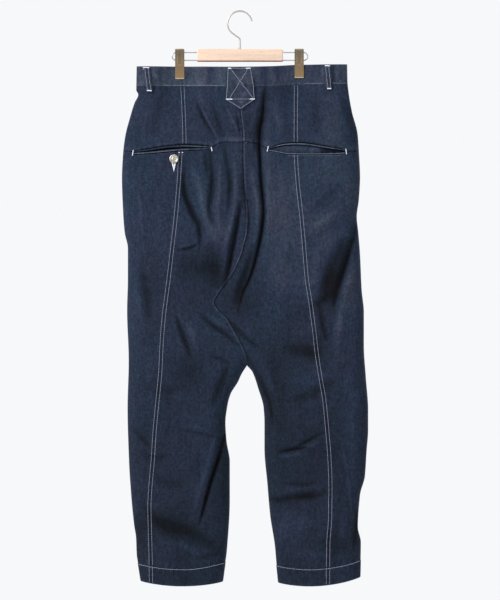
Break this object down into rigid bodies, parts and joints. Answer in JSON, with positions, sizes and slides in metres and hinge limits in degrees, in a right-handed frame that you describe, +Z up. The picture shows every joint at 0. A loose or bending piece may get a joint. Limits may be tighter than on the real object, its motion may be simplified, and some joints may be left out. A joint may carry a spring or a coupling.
{
  "type": "jeans on a clip hanger",
  "caption": "Loose tapered dark denim jeans, seen from behind, hanging by the waistband from a small wooden clip hanger with a wire hook.",
  "frame": {"origin": "the inside top of the hanger's hook, where a rail or peg carries it", "axes": "+Z up; the back of the jeans faces -Y and their front +Y; +X is the viewer's right when the back is seen"},
  "size_m": [0.4721, 0.0638, 1.1035],
  "materials": {
    "indigo_denim": "matt twill",
    "white_thread": "twisted thread",
    "button_metal": "polished, slightly worn",
    "pale_wood": "clear satin varnish",
    "bright_wire": "bright plated",
    "clip_metal": "antique, satin"
  },
  "bodies": {
    "root": {"back_left_inner": "indigo_denim", "back_left_outer": "indigo_denim", "back_right_inner": "indigo_denim", "back_right_outer": "indigo_denim", "belt_loop_back_left": "indigo_denim", "belt_loop_back_right": "indigo_denim", "belt_loop_front_left": "indigo_denim", "belt_loop_front_right": "indigo_denim", "buttonhole": "white_thread", "centre_back_loop": "indigo_denim", "clip_left_back_jaw": "clip_metal", "clip_left_front_jaw": "clip_metal", "clip_left_spring": "bright_wire", "clip_right_back_jaw": "clip_metal", "clip_right_front_jaw": "clip_metal", "clip_right_spring": "bright_wire", "facing_left": "indigo_denim", "facing_right": "indigo_denim", "fly": "indigo_denim", "front_left": "indigo_denim", "front_right": "indigo_denim", "hanger_bar": "pale_wood", "hanger_hook": "bright_wire", "hem_left": "indigo_denim", "hem_right": "indigo_denim", "pocket_button": "button_metal", "rail_left": "bright_wire", "rail_right": "bright_wire", "waist_button": "button_metal", "waistband_back": "indigo_denim", "waistband_front_left": "indigo_denim", "waistband_front_right": "indigo_denim", "welt_left_lower": "indigo_denim", "welt_left_upper": "indigo_denim", "welt_right_lower": "indigo_denim", "welt_right_upper": "indigo_denim", "yoke_left_inner": "indigo_denim", "yoke_left_outer": "indigo_denim", "yoke_right_inner": "indigo_denim", "yoke_right_outer": "indigo_denim"}
  },
  "joints": []
}
